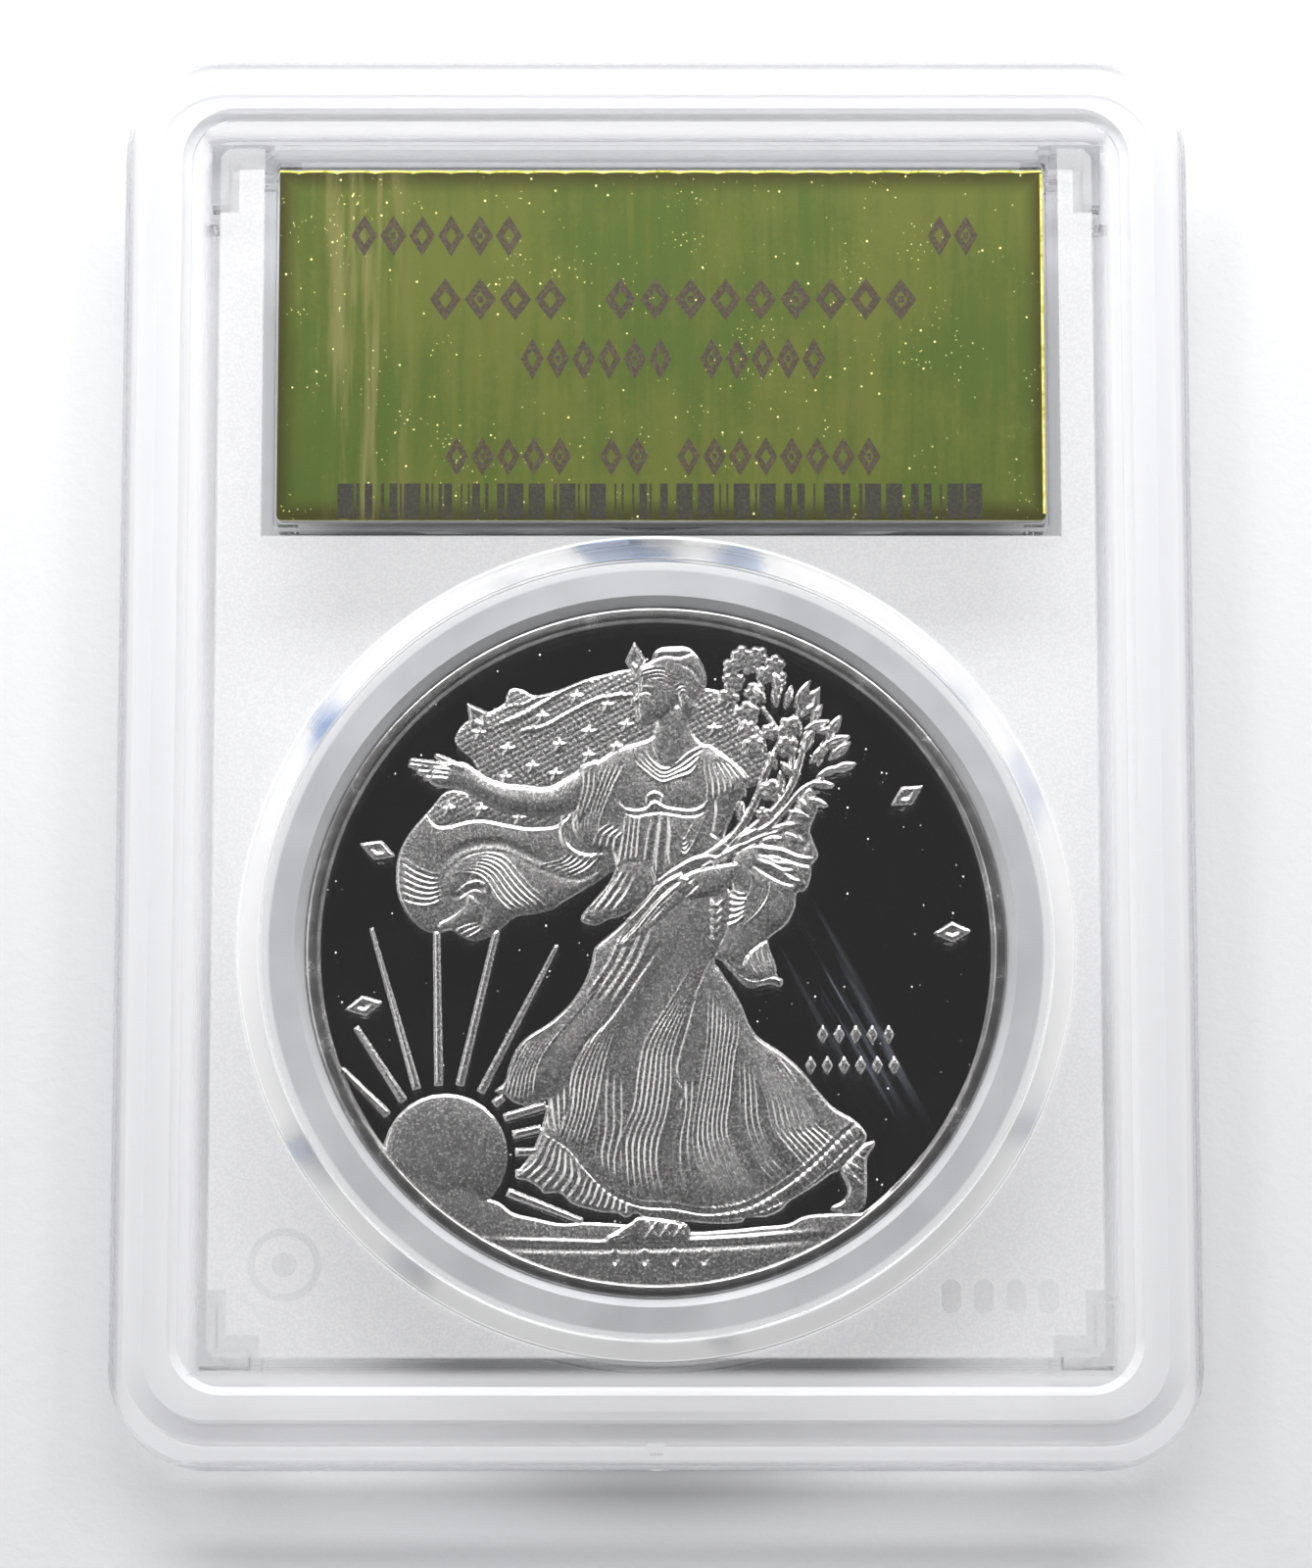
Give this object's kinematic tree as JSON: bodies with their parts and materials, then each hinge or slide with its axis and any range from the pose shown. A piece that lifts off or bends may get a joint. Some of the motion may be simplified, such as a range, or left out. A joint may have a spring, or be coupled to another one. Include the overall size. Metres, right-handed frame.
{
  "type": "graded coin slab",
  "caption": "Sealed clear plastic slab that holds a struck silver coin in a soft ring gasket under a metallic foil label, with a stacking ridge.",
  "frame": {"origin": "middle of the back face, on the surface that the slab lies on", "axes": "+X across the slab to the right seen from the front, +Y along the slab towards the label, +Z out of the front face"},
  "size_m": [0.0628, 0.0836, 0.008],
  "materials": {
    "shell_clear": "clear moulded plastic, polished windows with fine-grained frosted panels",
    "gasket_pearl": "pearly translucent white, satin",
    "coin_silver": "struck fine silver, mirror fields with frosted relief",
    "foil_gold": "metallised foil print, olive gold with fine yellow specks",
    "card_core": "uncoated white card",
    "label_paper": "smooth printed paper",
    "film_clear": "thin clear polyester film",
    "antenna_metal": "etched foil track",
    "chip_dark": "bare silicon chip, dark grey",
    "seal_foil": "diffractive security foil"
  },
  "bodies": {
    "root": {"front_shell": "shell_clear", "back_shell": "shell_clear", "coin_gasket": "gasket_pearl", "coin": "coin_silver", "foil_label": "foil_gold", "label_card": "card_core", "back_label": "label_paper", "inlay_film": "film_clear", "inlay_antenna": "antenna_metal", "inlay_chip": "chip_dark", "hologram_seal": "seal_foil"}
  },
  "joints": []
}
